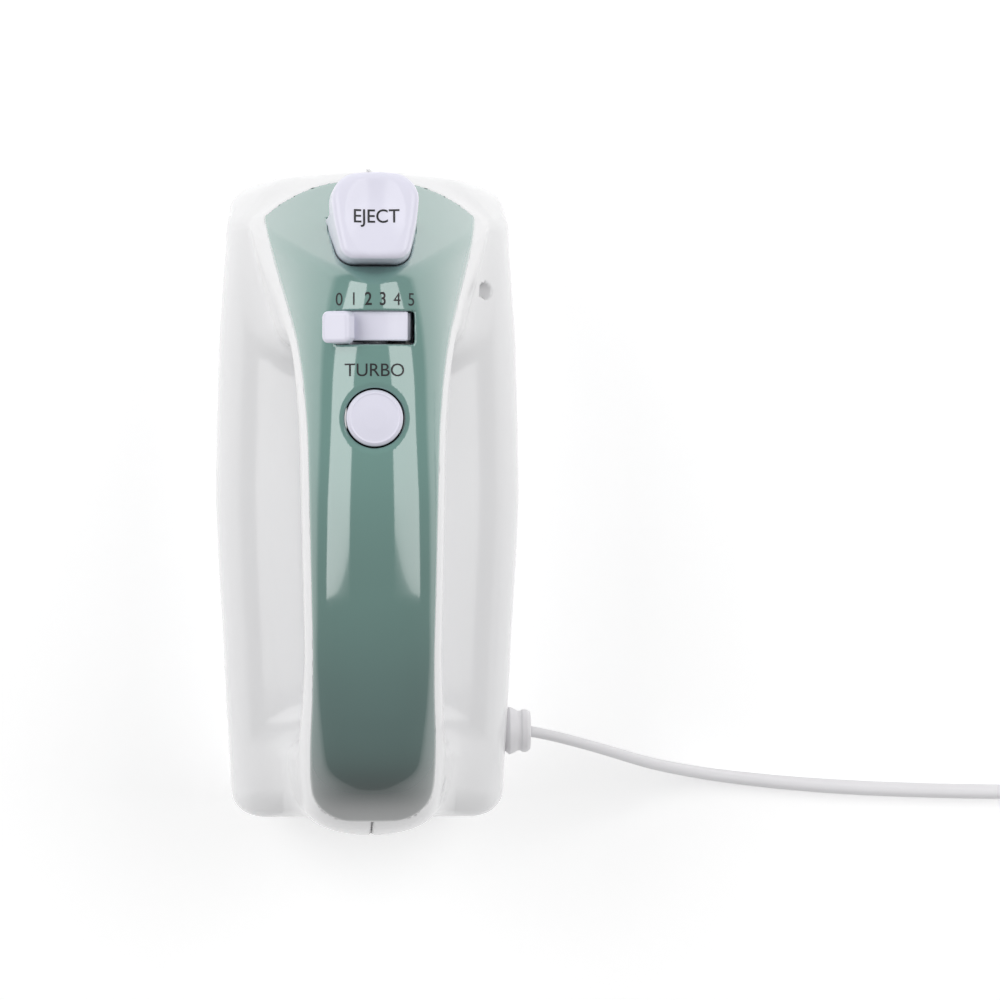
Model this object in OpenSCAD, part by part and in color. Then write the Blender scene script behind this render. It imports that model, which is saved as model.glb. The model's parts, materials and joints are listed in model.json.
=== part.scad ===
// Hand mixer: two-part white body with a closed handle, glossy green top cover, eject button,
// rotary speed selector, turbo button, universal motor, worm drive to two beater spindles, and a
// coiled mains lead with a two-pin plug.
// Frame: +Z up, +Y to the nose, +X to the side that the lead leaves. The underside is at z = 0.

/* [Body] */
// Width of the motor housing at its widest place
body_w = 86.6; // [84:0.2:90]
// Height of the widest place of the housing above the underside
waist_z = 38; // [34:1:42]
// Wall thickness of the moulded shells and the top cover
wall = 2.2; // [1.8:0.1:2.6]
// Gap between the top cover and the shells round it
cover_gap = 0.15; // [0.1:0.05:0.3]

/* [Controls] */
// Travel of the eject button
eject_travel = 8; // [5:0.5:8]
// Half-width of the eject button
eject_half_w = 11.4; // [10.4:0.1:11.8]
// Radius of the turbo button
turbo_r = 7.5; // [6.5:0.1:8]
// Travel of the turbo button
turbo_travel = 2.5; // [1.5:0.5:3]
// Outside radius of the arched track under the selector knob
track_r = 18.2; // [17.6:0.1:18.2]
// Turn of the selector from off to its highest step, in degrees
selector_turn = 51; // [48:1:51]

/* [Motor and gears] */
// Height of the motor axis above the underside
motor_z = 36; // [35:0.5:37]
// Radius of the motor shaft
shaft_r = 2.5; // [2:0.1:2.8]
// Radius of the rotor core
rotor_r = 14.7; // [13.5:0.1:14.8]
// Number of teeth on each worm wheel
wheel_teeth = 28; // [28:28:28]
// Mean radius of the worm wheel teeth
wheel_r = 13; // [13:1:13]
// Mean radius of the worm
worm_r = 4.7; // [4.5:0.05:4.7]
// Height of the teeth and of the worm thread, from mean radius to crest
tooth_h = 0.8; // [0.5:0.05:0.8]
// Distance between the axes of the two beater spindles
spindle_spacing = 36; // [36:1:36]
// Radius of the beater socket in each spindle
socket_r = 3.05; // [2.9:0.05:3.2]
// Depth of the beater socket
socket_depth = 27; // [22:1:27]

/* [Mains lead] */
// Width of the flat twin-core lead
cord_w = 5.2; // [4.6:0.2:5.6]
// Thickness of the flat twin-core lead
cord_t = 3.4; // [3:0.2:3.8]
// Radius of the plug pins
pin_r = 2; // [2:0.1:2.4]
// Distance between the plug pins
pin_spacing = 19; // [18:0.5:19]

/* [Hidden] */

half_w = body_w / 2;
thin = 0.1;           // thickness of the slices that hulls are stretched over
fine = 48;            // facets of visible round parts

white = [0.93, 0.93, 0.94];
lilac = [0.90, 0.90, 0.96];
green = [0.40, 0.54, 0.50];
steel = [0.66, 0.67, 0.69];
copper = [0.72, 0.42, 0.24];
brass = [0.80, 0.66, 0.34];
dark = [0.18, 0.18, 0.20];
nylon = [0.86, 0.85, 0.78];

// Housing: [y, narrower than the widest place by, top, underside]
housing_stations = [[-90.7, 13, 54, 8], [-88.5, 7.7, 60, 3], [-84, 5.3, 64, 0.6], [-78, 4.4, 66, 0],
    [-58, 3.1, 67.5, 0], [-18, 0.9, 69, 0], [-1, 0, 69.5, 0], [22, 0.4, 70, 0], [45, 1, 70, 0],
    [67, 2.6, 70, 0], [84, 4.1, 68, 0.6], [87, 5.3, 66, 1.2], [88.5, 7.6, 64, 2.4],
    [91, 15, 60, 5], [94, 36, 50, 12]];
// Crown line of the handle, from tail to nose: [y, z]
crown_line = [[-94, 84], [-91.5, 91], [-88.9, 96.5], [-83, 107], [-75, 114.5], [-60, 120.2],
    [-30, 124.8], [0, 127], [30, 127.8], [56, 127], [96, 124]];
// Side edge of the top cover: half-width and height along y
edge_half = [[-94, 12], [-88, 15.4], [-77.5, 17.1], [-66, 17.1], [-55, 16.6], [-44, 16.4],
    [-23, 16.9], [-1.5, 17.4], [17, 17.9], [31, 19.1], [42, 20.8], [53, 23.8], [65, 27.2],
    [78, 29.8], [96, 31]];
edge_height = [[-94, 80], [-84, 91], [-77.5, 95], [-66, 105], [-55, 111], [-44, 115.5],
    [-23, 116], [-1.5, 115], [17, 111], [31, 105], [42, 98], [53, 87], [65, 77], [78, 70],
    [96, 66]];
// How square the crown is: 2 is an ellipse
crown_power = [[-94, 2.2], [30, 2.3], [42, 2.1], [53, 1.8], [65, 1.5], [96, 1.4]];
// Half-width of the head where it meets the housing
foot_half = [[38, 25], [42, 27], [53, 31], [65, 35], [78, 37.5], [96, 38]];
// Underside of the handle
handle_low = [[-94, 60], [-88, 72], [-80, 84], [-66, 94], [-45, 97.6], [-20, 98.6], [30, 98.6],
    [60, 98.6]];
rim = 1.9;            // white rim of the shells beside the cover
skirt = 7;            // how far the crown's curve runs on below the cover's edge
// Column behind the finger gap: [height, half-width, rear end, front end]
tail_stations = [[56, 26, -89.5, -54], [74, 20.5, -91.5, -62], [86, 16.5, -90, -65]];
// Right half of the cover's front and rear ends in plan
cover_front = [[0, 89.4], [9, 88.9], [15.3, 87.9], [20, 86.1], [23.4, 84.3], [27.3, 81.6],
    [29.6, 78.6]];
cover_rear = [[16.6, -80], [14.5, -85], [11.5, -87.4], [7, -88.6], [0, -88.9]];
// Side view of the forehead and the nose: [y, z] where each straight stretch ends
brow_y = 56.5;
brow_z = 128;
cheek_y = 90;
cheek_z = 60;
nose_y = 94;
nose_z = 44;

gear_y = 64;
worm_pitch = 2 * PI * wheel_r / wheel_teeth;
worm_turns = 6;
spindle_x = spindle_spacing / 2;
spindle_top = 49;
stator_y = -18;
stator_l = 28;
brush_y = -39.5;
commutator_r = 8;
slot_y = 44;
slot_half_x = 10.6;
slot_half_y = 4.45;
axle_z = 107.8;
knob_r = 20.6;        // underside of the selector knob, from its axle
turbo_y = 20.1;
turbo_top = 128.6;
eject_front = 84.5;
eject_rear = 61.4;
eject_top = 137.5;
eject_taper = 1;      // how much wider the eject button is at its foot
stem_y = 67.7;
stem_r = 3.5;
stem_top = 110;
yoke_z = 75;
guide_z = 83;
bush_y = -67.5;
bush_z = 37;
bush_end_x = 46.6;
shell_screw_places = [[57, 62], [-80, 86], [-80, 12], [86, 14]];
screw_r = 1.4;

// Route of the lead from the bush to the coil, and from the coil to the plug
cord_route = [[46, -67.6, 37], [50, -68.3, 37], [55, -69.5, 36], [61, -71.2, 33.6], [67, -73, 29.8],
    [73, -75, 25.2], [79, -77, 20.4], [85, -78.8, 15.6], [91, -80.2, 11], [98, -81.7, 6.6],
    [105, -82.9, 3.8], [113, -83.9, 2.7], [123, -85, 2.7], [135, -86, 2.7], [150, -86.9, 2.7],
    [168, -87.6, 2.7], [186, -88, 2.7], [206, -88, 2.7], [225, -88, 2.7]];
coil_x = 240;
coil_y = -54;
coil_r = 29;
coil_band = 16;
coil_h = 9;
plug_x = coil_x + 34;
plug_y = -18;
plug_l = 36;
plug_w = 26;
plug_z = 7;
pin_l = 19;
lead_route = [[plug_x, -44, 7.9], [plug_x, -36, 7.7], [plug_x, -28, 7.3], [plug_x, -20, 7],
    [plug_x, -14, 7]];

// ---------- helpers ----------

function power(c, n) = sign(c) * pow(abs(c), 2 / n);

// Closed section of the housing: rounded crown, full flanks, flat underside
function housing_ring(half, top, low) = concat(
    [for (a = [0 : 10 : 180])
        [half * power(cos(a), 2.6), waist_z + (top - waist_z) * power(sin(a), 2.6)]],
    [for (a = [180 : 10 : 360])
        [half * power(cos(a), 3.2), max(low, waist_z + (waist_z + 3) * power(sin(a), 3.2))]]);

// Crown of the handle and the head, from the left foot of the curve to the right one
function crown_arc(y, base, inset) = let (half = lookup(y, edge_half) + rim - inset,
    rise = lookup(y, crown_line) - inset - base, n = lookup(y, crown_power))
    [for (a = [180 : -10 : 0]) [half * power(cos(a), n), base + rise * power(sin(a), n)]];

// Closed section of the handle
function handle_ring(y, inset) = let (low = lookup(y, handle_low) + inset,
    base = max(lookup(y, edge_height) - skirt, low + 6), half = lookup(y, edge_half) + rim - inset)
    concat(crown_arc(y, base, inset),
        [for (a = [-10 : -10 : -170])
            [half * power(cos(a), 3), base + (base - low) * power(sin(a), 3)]]);

// Closed section of the head, open to the housing below
function head_ring(y, inset) = let (foot = lookup(y, foot_half) - inset,
    base = lookup(y, edge_height) - skirt) concat([[-foot, 46], [-foot - 0.2, 47]],
        crown_arc(y, base, inset), [[foot + 0.2, 47], [foot, 46]]);

// Closed section of the column behind the finger gap, in plan
function tail_ring(half, rear, front) = [for (a = [0 : 10 : 359])
    [half * power(cos(a), 4), (rear + front) / 2 + (front - rear) / 2 * power(sin(a), 4)]];

module slice(y, points) {
    translate([0, y, 0]) rotate([90, 0, 0]) linear_extrude(thin, center = true) polygon(points);
}

// Solid through a stack of rings that all have the same number of points
module loft(rings) {
    count = len(rings[0]);
    last = len(rings) - 1;
    walls = [for (i = [0 : last - 1]) for (k = [0 : count - 1])
        let (n = (k + 1) % count, a = i * count, b = a + count)
        each [[a + k, b + k, a + n], [b + k, b + n, a + n]]];
    ends = [[for (k = [0 : count - 1]) k], [for (k = [count - 1 : -1 : 0]) last * count + k]];
    polyhedron(points = [for (r = rings) each r], faces = concat(walls, ends), convexity = 6);
}

module along_y(y, z) {
    translate([0, y, z]) rotate([-90, 0, 0]) children();
}

module along_x(x, y, z) {
    translate([x, y, z]) rotate([0, 90, 0]) children();
}

module ring_cylinder(r_out, r_in, h) {
    difference() {
        cylinder(r = r_out, h = h, $fn = fine);
        translate([0, 0, -1]) cylinder(r = r_in, h = h + 2, $fn = fine);
    }
}

function unit(v) = v / norm(v);

// Tube with an oval section swept along a route that stays clear of the vertical
module swept_tube(route, half_wide, half_thick, sides) {
    last = len(route) - 1;
    rings = [for (i = [0 : last]) let (
        ahead = unit(route[min(i + 1, last)] - route[max(i - 1, 0)]),
        side = unit(cross(ahead, [0, 0, 1])),
        up = cross(side, ahead))
        for (k = [0 : sides - 1]) route[i] + side * half_wide * cos(360 * k / sides)
            + up * half_thick * sin(360 * k / sides)];
    walls = [for (i = [0 : last - 1]) for (k = [0 : sides - 1]) let (n = (k + 1) % sides)
        [i * sides + k, i * sides + n, (i + 1) * sides + n, (i + 1) * sides + k]];
    ends = [[for (k = [sides - 1 : -1 : 0]) k], [for (k = [0 : sides - 1]) last * sides + k]];
    polyhedron(points = rings, faces = concat(walls, ends), convexity = 6);
}

// Round wire wound into a compression spring along +Z
module coil_spring(r, wire, length, turns) {
    sides = 6;
    steps = turns * 12;
    rings = [for (i = [0 : steps]) let (a = 360 * i / 12, h = wire + (length - 2 * wire) * i / steps)
        for (k = [0 : sides - 1]) let (b = 360 * k / sides)
            [(r + wire * cos(b)) * cos(a), (r + wire * cos(b)) * sin(a), h + wire * sin(b)]];
    walls = [for (i = [0 : steps - 1]) for (k = [0 : sides - 1]) let (n = (k + 1) % sides)
        [i * sides + k, (i + 1) * sides + k, (i + 1) * sides + n, i * sides + n]];
    ends = [[for (k = [0 : sides - 1]) k], [for (k = [sides - 1 : -1 : 0]) steps * sides + k]];
    polyhedron(points = rings, faces = concat(walls, ends), convexity = 8);
}

// ---------- body ----------

// Side view of the body that trims the forehead and the nose
module side_trim(inset) {
    rotate([90, 0, 90]) linear_extrude(120, center = true) offset(delta = -inset)
        polygon([[-120, -20], [88, -20], [nose_y, 30], [nose_y, nose_z], [cheek_y, cheek_z],
            [brow_y, brow_z], [brow_y - 4, 160], [-120, 160]]);
}

// Plan of the nose: a shallow arc with rounded corners
module plan_trim(inset) {
    linear_extrude(150) offset(5 - inset, $fn = 32) polygon(concat([[-60, -110]],
        [for (x = [-34 : 4 : 34]) [x, nose_y - 5 - 0.0046 * x * x]], [[60, -110]]));
}

// Whole outer body as one solid, drawn in by inset on every side
module body_form(inset) {
    intersection() {
        union() {
            hull() for (s = housing_stations)
                slice(s[0] * (1 - inset / 92), housing_ring(half_w - s[1] - inset, s[2] - inset,
                    s[3] + inset));
            loft([for (y = [41 + inset, 47, 53, 60, 67, 74, 81, 88, 94]) [for (p = head_ring(y, inset))
                [p[0], y, p[1]]]]);
            loft([for (y = [-93.9 + inset, -90, -86, -82, -77, -70, -62, -52, -42, -30, -15, 0, 15, 30,
                42, 50]) [for (p = handle_ring(y, inset)) [p[0], y, p[1]]]]);
            loft([for (s = tail_stations) [for (p = tail_ring(s[1] - inset, s[2] + inset,
                s[3] - inset)) [p[0], p[1], s[0]]]]);
        }
        side_trim(inset);
        plan_trim(inset);
    }
}

module body_skin() {
    difference() {
        body_form(0);
        body_form(wall);
    }
}

module cover_prism(grow) {
    side = [for (y = [76 : -6 : -79]) [lookup(y, edge_half), y]];
    right = concat(cover_front, side, cover_rear);
    intersection() {
        translate([0, 0, 50]) linear_extrude(90) offset(delta = grow) polygon(concat(right,
            [for (i = [len(right) - 2 : -1 : 1]) [-right[i][0], right[i][1]]]));
        rotate([90, 0, 90]) linear_extrude(80, center = true) polygon(concat([[-100, 84 - grow]],
            [for (p = edge_height) if (abs(p[0]) < 90) [p[0], p[1] - 4 - grow]],
            [[90, 56 - grow], [100, 52 - grow], [100, 145], [-100, 145]]));
    }
}

// Outline of the eject button in plan: a shield, wide at the nose, narrow behind
module eject_outline(grow) {
    offset(r = grow, $fn = 32) hull() {
        for (side = [-1, 1]) {
            translate([side * (eject_half_w - 6.4), eject_front - 6.6]) circle(6.4, $fn = 32);
            translate([side * (eject_half_w - 2.4), eject_front - 8]) circle(2.4, $fn = 24);
            translate([side * (eject_half_w - 7), eject_rear + 2.8]) circle(2.8, $fn = 24);
        }
        translate([0, eject_front - 3.2]) circle(3.2, $fn = 24);
    }
}

// The part of that outline that passes through the cover
module eject_foot(grow) {
    intersection() {
        eject_outline(eject_taper + grow);
        translate([-20, 50]) square([40, eject_front - 9.5 - 50 + grow]);
    }
}

module control_openings() {
    translate([0, 0, 80]) linear_extrude(70) eject_foot(0.45);
    translate([-slot_half_x, slot_y - slot_half_y, 112]) cube([2 * slot_half_x, 2 * slot_half_y, 20]);
    translate([0, turbo_y, 112]) cylinder(r = turbo_r + 0.4, h = 20, $fn = fine);
}

// Vent slots in the underside, crosswise behind the motor
module underside_vents() {
    for (i = [0 : 5]) translate([0, -74 + 5.4 * i, -1])
        linear_extrude(5) hull() for (side = [-1, 1]) translate([17 * side, 0]) circle(1.3, $fn = 16);
}

module shell_half(side) {
    color(white) difference() {
        union() {
            intersection() {
                body_skin();
                translate([side * 50, 0, 70]) cube([100, 220, 160], center = true);
            }
            intersection() {
                body_form(0.5);
                for (p = shell_screw_places)
                    along_x(side > 0 ? 0 : -50, p[0], p[1]) cylinder(r = 3.2, h = 50, $fn = 24);
            }
        }
        cover_prism(cover_gap);
        control_openings();
        underside_vents();
        for (x = [-spindle_x, spindle_x])
            translate([x, gear_y, -1]) cylinder(r = 7.2, h = 8, $fn = fine);
        for (p = shell_screw_places) {
            along_x(-10.5, p[0], p[1]) cylinder(r = screw_r + 0.1, h = 20, $fn = 24);
            along_x(8, p[0], p[1]) cylinder(r = 2.3, h = 60, $fn = 24);
        }
        along_x(20, bush_y, bush_z) cylinder(r = 5, h = 40, $fn = fine);
    }
}

module left_shell() {
    shell_half(-1);
}

module right_shell() {
    shell_half(1);
}

// Snap hooks that hold the cover down on the shells
cover_hooks = [[14.4, 2, 117], [14, -30, 117], [13.6, -60, 112], [22.6, 57, 88]];

module top_cover() {
    color(green) {
        difference() {
            intersection() {
                body_skin();
                cover_prism(0);
            }
            control_openings();
        }
        for (p = cover_hooks, side = [-1, 1]) hull() {
            translate([side * p[0], p[1], p[2]]) cube([1.6, 5, 4], center = true);
            translate([side * p[0], p[1], p[2] - 6]) cube([1, 5, 1], center = true);
        }
    }
}

// ---------- eject button and its push rods ----------

module eject_button() {
    color(lilac) difference() {
        intersection() {
            hull() {
                translate([0, 0, 87]) linear_extrude(20) eject_outline(eject_taper);
                translate([0, 0, eject_top]) linear_extrude(1) eject_outline(0);
            }
            rotate([90, 0, 90]) linear_extrude(60, center = true)
                polygon([[eject_rear - 2, guide_z + 5 + eject_travel],
                    [eject_front - 11.5, guide_z + 5 + eject_travel],
                    [eject_front - 11.5, guide_z + 5], [eject_front - 9.5, guide_z + 5],
                    [eject_front - 9.5, 112],
                    [eject_front + 0.2, 126], [eject_front + 0.2, 131], [eject_front - 1.2, 133],
                    [eject_front - 4, 134.2], [eject_rear + 3, eject_top],
                    [eject_rear, eject_top - 1.6], [eject_rear - 2, eject_top - 8]]);
        }
        translate([0, 74, eject_top + 21]) scale([0.32, 0.46, 1]) sphere(r = 24, $fn = 48);
        translate([0, 0, 80]) linear_extrude(32) eject_foot(-2);
    }
    color(lilac) translate([0, stem_y, stem_top - 0.5]) cylinder(r = 4.6, h = 3, $fn = fine);
}

module eject_yoke() {
    color(nylon) {
        translate([0, stem_y, yoke_z]) cylinder(r = stem_r, h = stem_top - 0.5 - yoke_z, $fn = fine);
        translate([-spindle_x - 4, gear_y - 4, yoke_z]) cube([spindle_spacing + 8, 8, 3]);
        translate([-4, gear_y - 4, yoke_z]) cube([8, stem_y - gear_y + 4, 3]);
        for (x = [-spindle_x, spindle_x])
            translate([x, gear_y, 30]) cylinder(r = 1.6, h = yoke_z - 29.5, $fn = 24);
    }
}

module eject_spring() {
    color(steel) translate([0, stem_y, guide_z + 3])
        coil_spring(4.1, 0.45, stem_top - 0.5 - guide_z - 3, 7);
}

// Cross plate that guides the stem and carries the spring
module eject_guide() {
    color(nylon) difference() {
        translate([-17, stem_y - 8, guide_z]) cube([34, 12.5, 3]);
        translate([0, stem_y, guide_z - 1]) cylinder(r = stem_r + 0.08, h = 6, $fn = fine);
    }
}

// ---------- speed selector ----------

rest_angle = selector_turn / 2;

// Ring sector in the XZ plane round the selector axle, from angle a to angle b off the vertical
module axle_sector(r_out, r_in, a, b, y, width) {
    translate([0, y + width, axle_z]) rotate([90, 0, 0]) linear_extrude(width)
        polygon(concat([for (i = [0 : 24]) let (t = a + (b - a) * i / 24) r_out * [sin(t), cos(t)]],
            [for (i = [24 : -1 : 0]) let (t = a + (b - a) * i / 24) r_in * [sin(t), cos(t)]]));
}

// Knob on a thin arm that passes behind the track and turns on the axle
module speed_selector() {
    color(lilac) {
        axle_sector(knob_r + 0.6, 3.2, -rest_angle - 5, -rest_angle + 5, slot_y - 4.3, 0.8);
        difference() {
            along_y(slot_y - 5.5, axle_z) cylinder(r = 4, h = 11, $fn = fine);
            along_y(slot_y - 6.5, axle_z) cylinder(r = 2, h = 13, $fn = fine);
        }
        translate([0, slot_y, axle_z]) rotate([0, -rest_angle, 0]) hull()
            for (x = [-2.7, 2.7], y = [-3, 3]) {
                translate([x, y, knob_r]) cylinder(r = 1.2, h = 1, $fn = 24);
                translate([x, y, knob_r + 3.3]) sphere(r = 1.2, $fn = 24);
            }
    }
}

// Fixed arch that fills the slot under the knob, on two posts and a foot plate
module selector_track() {
    color(lilac) {
        axle_sector(track_r, track_r - 1.4, -35, 35, slot_y - 3.2, 7.4);
        for (x = [-10.4, 9.2]) translate([x, slot_y - 3.2, 102]) cube([1.2, 7.4, 20]);
        translate([-12, slot_y - 3.2, 101.5]) cube([24, 16.7, 0.9]);
    }
}

module selector_axle() {
    color(steel) along_y(slot_y - 9, axle_z) cylinder(r = 2, h = 21, $fn = fine);
}

module selector_bracket() {
    color(nylon) difference() {
        translate([-6, slot_y - 8.5, 101]) cube([12, 2.5, 11]);
        along_y(slot_y - 12, axle_z) cylinder(r = 2.05, h = 10, $fn = fine);
    }
}

module speed_switch() {
    color(dark) difference() {
        union() {
            translate([-8, slot_y + 6.2, 102.4]) cube([16, 7, 11.6]);
            for (x = [-6, 0, 6]) translate([x - 1, slot_y + 13, 103.5]) cube([2, 2.4, 0.8]);
        }
        along_y(slot_y + 4, axle_z) cylinder(r = 2.05, h = 12, $fn = fine);
    }
}

// Leaf under the selector's hub that clicks into its steps
module detent_spring() {
    color(steel) {
        translate([-7, slot_y - 2, 102.4]) cube([14, 4, 0.5]);
        translate([-1, slot_y - 2, 102.8]) cube([2, 4, 0.6]);
    }
}

// ---------- turbo button ----------

module turbo_button() {
    color(lilac) {
        intersection() {
            translate([0, turbo_y, 118]) cylinder(r = turbo_r, h = 12, $fn = fine);
            translate([0, turbo_y, turbo_top - 34]) sphere(r = 34, $fn = 64);
        }
        translate([0, turbo_y, 110.1 + turbo_travel])
            cylinder(r = 2.2, h = 8.5 - turbo_travel, $fn = 32);
    }
}

module turbo_spring() {
    color(steel) translate([0, turbo_y, 109.4]) coil_spring(3.4, 0.35, 8.6, 5);
}

module turbo_switch() {
    color(dark) difference() {
        translate([-7, turbo_y - 9, 101.4]) cube([14, 18, 8]);
        translate([0, turbo_y, 104]) cylinder(r = 2.3, h = 8, $fn = 32);
    }
}

// ---------- motor ----------

module motor_shaft() {
    color(steel) along_y(-64, motor_z) cylinder(r = shaft_r, h = gear_y + 83, $fn = fine);
}

// Single-start worm: a round core that runs off centre and winds along the shaft
module worm() {
    color(brass) difference() {
        translate([0, gear_y - worm_pitch * worm_turns / 2, motor_z]) rotate([-90, 0, 0])
            linear_extrude(worm_pitch * worm_turns, twist = -360 * worm_turns,
                slices = 12 * worm_turns) translate([tooth_h, 0]) circle(worm_r, $fn = 24);
        along_y(gear_y - 12, motor_z) cylinder(r = shaft_r, h = 24, $fn = fine);
    }
}

module rotor_core() {
    color(steel) along_y(stator_y, motor_z) linear_extrude(stator_l) difference() {
        circle(rotor_r, $fn = 96);
        for (a = [0 : 30 : 330]) rotate(a) {
            translate([10.6, 0]) circle(1.9, $fn = 24);
            translate([10.6, -0.8]) square([6, 1.6]);
        }
        circle(shaft_r, $fn = fine);
    }
}

module rotor_winding() {
    color(copper) {
        for (y = [stator_y - 6.5, stator_y + stator_l]) along_y(y, motor_z) ring_cylinder(12.6, 5, 6.5);
        along_y(stator_y, motor_z) linear_extrude(stator_l)
            for (a = [0 : 30 : 330]) rotate(a) translate([10.6, 0]) circle(1.7, $fn = 24);
    }
}

module commutator() {
    color(copper) along_y(brush_y - 6.5, motor_z) linear_extrude(13) difference() {
        circle(commutator_r, $fn = 96);
        for (a = [0 : 15 : 345]) rotate(a) translate([commutator_r - 1, -0.2]) square([2, 0.4]);
        circle(shaft_r, $fn = fine);
    }
}

module cooling_fan() {
    color(dark) along_y(21, motor_z) difference() {
        union() {
            cylinder(r = 6, h = 10, $fn = fine);
            cylinder(r = 22, h = 1.4, $fn = fine);
            for (a = [0 : 40 : 320]) rotate(a) translate([5, -0.7, 0.5]) cube([16.5, 1.4, 8.5]);
        }
        translate([0, 0, -1]) cylinder(r = shaft_r, h = 12, $fn = fine);
    }
}

module stator_core() {
    color(steel) along_y(stator_y, motor_z) linear_extrude(stator_l) difference() {
        union() {
            difference() {
                hull() for (x = [-19, 19], z = [-18, 18]) translate([x, z]) circle(9, $fn = 32);
                hull() for (x = [-18, 18], z = [-17, 17]) translate([x, z]) circle(5.5, $fn = 32);
            }
            intersection() {
                circle(18.5, $fn = 96);
                for (side = [-1, 1]) polygon([[0, 0], [26, 20 * side], [-26, 20 * side]]);
            }
            translate([-7, -24]) square([14, 48]);
        }
        circle(15.2, $fn = 96);
    }
}

module field_coil(side) {
    z = motor_z + (side > 0 ? 18.9 : -22.2);
    color(copper) translate([0, stator_y + stator_l / 2, z]) linear_extrude(3.3) difference() {
        hull() for (x = [-15, 15], y = [-16, 16]) translate([x, y]) circle(4, $fn = 32);
        square([15, stator_l + 0.4], center = true);
    }
}

module upper_field_coil() {
    field_coil(1);
}

module lower_field_coil() {
    field_coil(-1);
}

long_screws = [[25.7, 12], [-25.7, -12]];

module rear_bracket() {
    color(nylon) difference() {
        union() {
            along_y(-58, motor_z) linear_extrude(4) hull() for (p = long_screws)
                translate([p[0], -p[1]]) circle(5, $fn = 32);
            along_y(-58, motor_z) cylinder(r = 9, h = 4, $fn = fine);
            for (x = [-1, 1]) translate([x > 0 ? 12 : -24, -54.5, motor_z - 4.4])
                cube([12, 11.3, 8.8]);
        }
        along_y(-60, motor_z) cylinder(r = 5, h = 8, $fn = fine);
        for (p = long_screws) translate([p[0], -60, motor_z + p[1]]) rotate([-90, 0, 0])
            cylinder(r = 1.6, h = 8, $fn = 24);
    }
}

module sleeve_bearing(y, length) {
    color(brass) along_y(y, motor_z) ring_cylinder(5, shaft_r + 0.05, length);
}

module rear_bearing() {
    sleeve_bearing(-59, 5.5);
}

module middle_bearing() {
    sleeve_bearing(gear_y - 22.4, 5.8);
}

module front_bearing() {
    sleeve_bearing(gear_y + 15, 5.5);
}

module brush(side) {
    color(dark) translate([side > 0 ? commutator_r + 0.05 : -commutator_r - 9.05, brush_y - 2.5,
        motor_z - 3]) cube([9, 5, 6]);
}

module left_brush() {
    brush(-1);
}

module right_brush() {
    brush(1);
}

module brush_holder(side) {
    color(brass) translate([side * 17, brush_y, motor_z]) difference() {
        cube([14, 6.4, 7.4], center = true);
        translate([-side, 0, 0]) cube([14, 5.2, 6.2], center = true);
    }
}

module left_brush_holder() {
    brush_holder(-1);
}

module right_brush_holder() {
    brush_holder(1);
}

module brush_springs() {
    color(steel) for (side = [-1, 1])
        translate([side * 17.1, brush_y, motor_z]) rotate([0, side * 90, 0]) coil_spring(1.9, 0.3, 5.8, 5);
}

module motor_screws() {
    color(steel) for (p = long_screws) translate([p[0], -60, motor_z + p[1]]) rotate([-90, 0, 0]) {
        cylinder(r = 3, h = 2, $fn = 32);
        cylinder(r = 1.5, h = 60 + stator_y, $fn = 24);
    }
}

module spacer_tubes() {
    color(steel) for (p = long_screws) translate([p[0], -54, motor_z + p[1]]) rotate([-90, 0, 0])
        ring_cylinder(2.6, 1.6, 54 + stator_y);
}

// ---------- gears and spindles ----------

module gear_frame() {
    color(nylon) translate([0, gear_y, 0]) difference() {
        union() {
            translate([-33, -22, 26.5]) cube([66, 42, 3]);
            translate([-12, 15.6, 29]) cube([24, 4.4, 13.8]);
            translate([-12, -22, 29]) cube([24, 5, 13.8]);
            for (x = [-31.5, 27.5], y = [-21, 15]) translate([x, y, 29]) cube([4, 4, 13.8]);
        }
        for (x = [-spindle_x, spindle_x]) translate([x, 0, 20]) cylinder(r = 5.05, h = 12, $fn = fine);
        along_y(-30, motor_z) cylinder(r = 5, h = 60, $fn = fine);
    }
}

gear_screw_places = [for (x = [-29.5, 29.5], y = [-19, 17]) [x, y]];

module gear_lid() {
    color(nylon) translate([0, gear_y, 0]) difference() {
        translate([-33, -22, 42.8]) cube([66, 42, 2.4]);
        for (x = [-spindle_x, spindle_x]) translate([x, 0, 40]) cylinder(r = 4.05, h = 8, $fn = fine);
        for (p = gear_screw_places) translate([p[0], p[1], 40]) cylinder(r = 1.3, h = 8, $fn = 24);
    }
}

module gear_screws() {
    color(steel) for (p = gear_screw_places) translate([p[0], gear_y + p[1], 42.8]) {
        cylinder(r = 1.25, h = 3, $fn = 24);
        translate([0, 0, 2.4]) cylinder(r = 2.4, h = 1.6, $fn = 24);
    }
}

module spindle(x) {
    color(steel) translate([x, gear_y, 0]) difference() {
        union() {
            translate([0, 0, 1.2]) cylinder(r = 5, h = 39.8, $fn = fine);
            translate([0, 0, 30.3]) cylinder(r = 7, h = 1.5, $fn = fine);
            translate([0, 0, 40]) cylinder(r = 4, h = spindle_top - 40, $fn = fine);
        }
        translate([0, 0, 1.2 - socket_depth]) cylinder(r = socket_r, h = 2 * socket_depth, $fn = fine);
        translate([0, 0, 20]) cylinder(r = 2.2, h = 40, $fn = fine);
    }
}

module left_spindle() {
    spindle(-spindle_x);
}

module right_spindle() {
    spindle(spindle_x);
}

module worm_wheel(x, phase) {
    steps = wheel_teeth * 8;
    color(nylon) translate([x, gear_y, motor_z - 3]) rotate(phase) linear_extrude(6) difference() {
        polygon([for (i = [0 : steps - 1]) let (a = 360 * i / steps)
            (wheel_r + tooth_h * cos(wheel_teeth * a)) * [cos(a), sin(a)]]);
        circle(5, $fn = fine);
    }
}

module left_gear() {
    worm_wheel(-spindle_x, 0);
}

module right_gear() {
    worm_wheel(spindle_x, 180 / wheel_teeth);
}

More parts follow.
